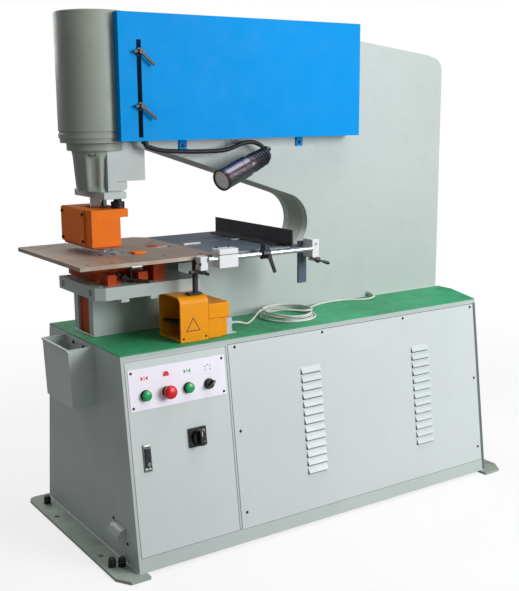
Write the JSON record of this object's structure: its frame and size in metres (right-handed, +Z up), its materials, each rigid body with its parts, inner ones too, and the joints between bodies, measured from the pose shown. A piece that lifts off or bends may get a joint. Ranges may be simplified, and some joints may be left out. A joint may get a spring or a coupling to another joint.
{
  "type": "hydraulic punching press",
  "caption": "Deep-throat hydraulic punching press: C-frame with ram cylinder and guard, tables with back fence and rail, work lamp, foot pedal and a sloped sheet-metal cabinet.",
  "frame": {"origin": "centre of the bounding box, on the floor under the foot rails", "axes": "+X along the throat towards the closed back of the frame, +Y away from the operator's side, +Z up"},
  "size_m": [1.673, 0.784, 1.7],
  "materials": {
    "body_paint": "satin grey-green enamel",
    "panel_paint": "satin grey-green enamel on sheet",
    "control_plate": "satin pale lilac",
    "black_steel": "black oxide",
    "black_plastic": "black moulded plastic",
    "green_plastic": "green moulded plastic",
    "red_plastic": "red moulded plastic",
    "bright_steel": "polished",
    "orange_paint": "gloss orange enamel",
    "table_steel": "ground steel plate",
    "dark_table": "blued steel",
    "white_block": "pale zinc",
    "blue_paint": "gloss blue enamel",
    "lamp_metal": "gunmetal",
    "amber_paint": "gloss amber enamel",
    "cord_jacket": "grey PVC",
    "mat_rubber": "green ribbed rubber",
    "machine_grey": "painted castings and tank"
  },
  "bodies": {
    "machine": {"foot_rail_left": "body_paint", "foot_rail_right": "body_paint", "levelling_bolts": "black_steel", "floor_pan": "body_paint", "front_wall": "body_paint", "rear_wall": "body_paint", "end_plate_left": "body_paint", "end_plate_right": "body_paint", "worktop": "body_paint", "mat": "mat_rubber", "side_panel": "panel_paint", "panel_screws": "bright_steel", "rear_panel": "panel_paint", "scrap_bin": "body_paint", "cable_hood": "body_paint", "cheek_front": "body_paint", "cheek_rear": "body_paint", "frame_web": "body_paint", "slug_chute": "orange_paint", "barrel": "body_paint", "nose_casting": "body_paint", "guide_columns": "black_steel", "punch_guard": "orange_paint", "guard_plate": "orange_paint", "bolster": "body_paint", "die_holder": "orange_paint", "die": "bright_steel", "clamp_blocks": "orange_paint", "punching_table": "table_steel", "gauge_table": "dark_table", "slot_block": "white_block", "rail_rods": "bright_steel", "rail_brackets": "white_block", "cover": "blue_paint", "gooseneck": "lamp_metal", "pedal_body": "amber_paint", "cord_lead": "cord_jacket", "cord_coil": "cord_jacket", "power_pack": "machine_grey"},
    "ram": {"piston_rod": "bright_steel", "coupling_nut": "black_steel", "punch": "bright_steel"},
    "door": {"door": "panel_paint", "control_plate": "control_plate", "button_bezels": "black_plastic", "switch_plate": "black_plastic", "lock_body": "bright_steel"},
    "start_button": {"start_button": "green_plastic"},
    "return_button": {"return_button": "green_plastic"},
    "estop_button": {"estop_button": "red_plastic"},
    "selector": {"selector_knob": "black_plastic"},
    "main_switch": {"switch_knob": "black_plastic"},
    "door_lock": {"lock_paddle": "bright_steel"},
    "treadle": {"treadle": "black_steel"},
    "fence": {"fence": "black_steel"},
    "rail_clamp": {"rail_clamp": "black_steel"},
    "clamp_lever": {"clamp_lever": "black_steel"},
    "upper_stop": {"upper_stop": "black_steel"},
    "lower_stop": {"lower_stop": "black_steel"},
    "lamp_head": {"lamp_head": "lamp_metal"}
  },
  "joints": [
    {"name": "ram_stroke", "type": "slide", "parent": "machine", "child": "ram", "axis": [0, 0, -1], "range_m": [0, 0.045]},
    {"name": "door_hinge", "type": "hinge", "parent": "machine", "child": "door", "pos_m": [-0.377, -0.31939, 0.356], "axis": [0, 0.1279, 0.9918], "range_deg": [0, 110]},
    {"name": "start_press", "type": "slide", "parent": "door", "child": "start_button", "axis": [0, 0.9918, -0.1279], "range_m": [0, 0.004], "stiffness_N_per_m": 300, "springref_m": -0.002},
    {"name": "return_press", "type": "slide", "parent": "door", "child": "return_button", "axis": [0, 0.9918, -0.1279], "range_m": [0, 0.004], "stiffness_N_per_m": 300, "springref_m": -0.002},
    {"name": "estop_press", "type": "slide", "parent": "door", "child": "estop_button", "axis": [0, 0.9918, -0.1279], "range_m": [0, 0.004], "stiffness_N_per_m": 600, "springref_m": -0.002},
    {"name": "selector_turn", "type": "hinge", "parent": "door", "child": "selector", "pos_m": [-0.44825, -0.29463, 0.548], "axis": [0, -0.9918, 0.1279], "range_deg": [-45, 45]},
    {"name": "switch_turn", "type": "hinge", "parent": "door", "child": "main_switch", "pos_m": [-0.506, -0.315, 0.39], "axis": [0, -0.9918, 0.1279], "range_deg": [-90, 0]},
    {"name": "lock_turn", "type": "hinge", "parent": "door", "child": "door_lock", "pos_m": [-0.684, -0.31913, 0.358], "axis": [0, -0.9918, 0.1279], "range_deg": [0, 90]},
    {"name": "treadle_press", "type": "hinge", "parent": "machine", "child": "treadle", "pos_m": [-0.444, -0.174, 0.717], "axis": [0, 1, 0], "range_deg": [-12, 0], "stiffness_Nm_per_rad": 6, "springref_deg": 6.88},
    {"name": "fence_slide", "type": "slide", "parent": "machine", "child": "fence", "axis": [1, 0, 0], "range_m": [-0.15, 0]},
    {"name": "clamp_slide", "type": "slide", "parent": "machine", "child": "rail_clamp", "axis": [1, 0, 0], "range_m": [-0.08, 0.09]},
    {"name": "clamp_turn", "type": "hinge", "parent": "rail_clamp", "child": "clamp_lever", "pos_m": [-0.206, -0.2805, 0.929], "axis": [0, 1, 0], "range_deg": [-60, 60]},
    {"name": "upper_stop_slide", "type": "slide", "parent": "machine", "child": "upper_stop", "axis": [0, 0, 1], "range_m": [-0.06, 0.025]},
    {"name": "lower_stop_slide", "type": "slide", "parent": "machine", "child": "lower_stop", "axis": [0, 0, 1], "range_m": [-0.08, 0.06]},
    {"name": "lamp_tilt", "type": "hinge", "parent": "machine", "child": "lamp_head", "pos_m": [-0.052, -0.046, 1.262], "axis": [0, 1, 0], "range_deg": [-40, 0]}
  ]
}
